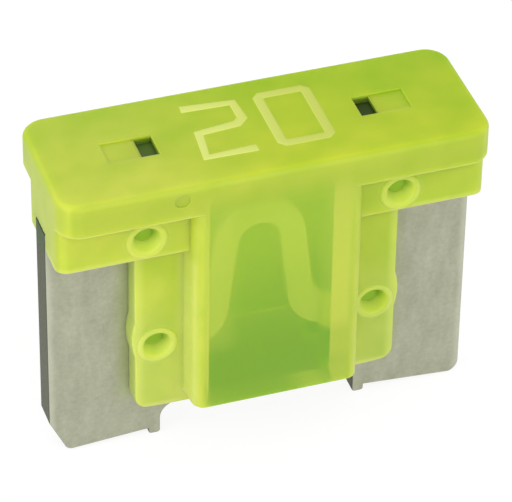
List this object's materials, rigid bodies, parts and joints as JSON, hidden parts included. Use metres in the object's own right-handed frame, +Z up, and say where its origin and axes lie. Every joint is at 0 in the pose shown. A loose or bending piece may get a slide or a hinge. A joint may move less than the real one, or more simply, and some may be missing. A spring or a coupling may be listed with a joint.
{
  "type": "automotive blade fuse",
  "caption": "Low-profile mini blade fuse: yellow-green translucent housing over a one-piece stamped metal element with two flat blades and an inverted-U link.",
  "frame": {"origin": "midway between the two blades, at the height of their tips", "axes": "+X along the width, from the left blade to the right one; +Y towards the back; +Z up, away from the holder that the blades plug into"},
  "size_m": [0.011, 0.0038, 0.0087],
  "materials": {
    "housing_plastic": "satin translucent moulding, yellow-green",
    "zinc_sheet": "matt stamped zinc alloy with dull sheared edges"
  },
  "bodies": {
    "root": {"housing": "housing_plastic", "fuse_element": "zinc_sheet"}
  },
  "joints": []
}
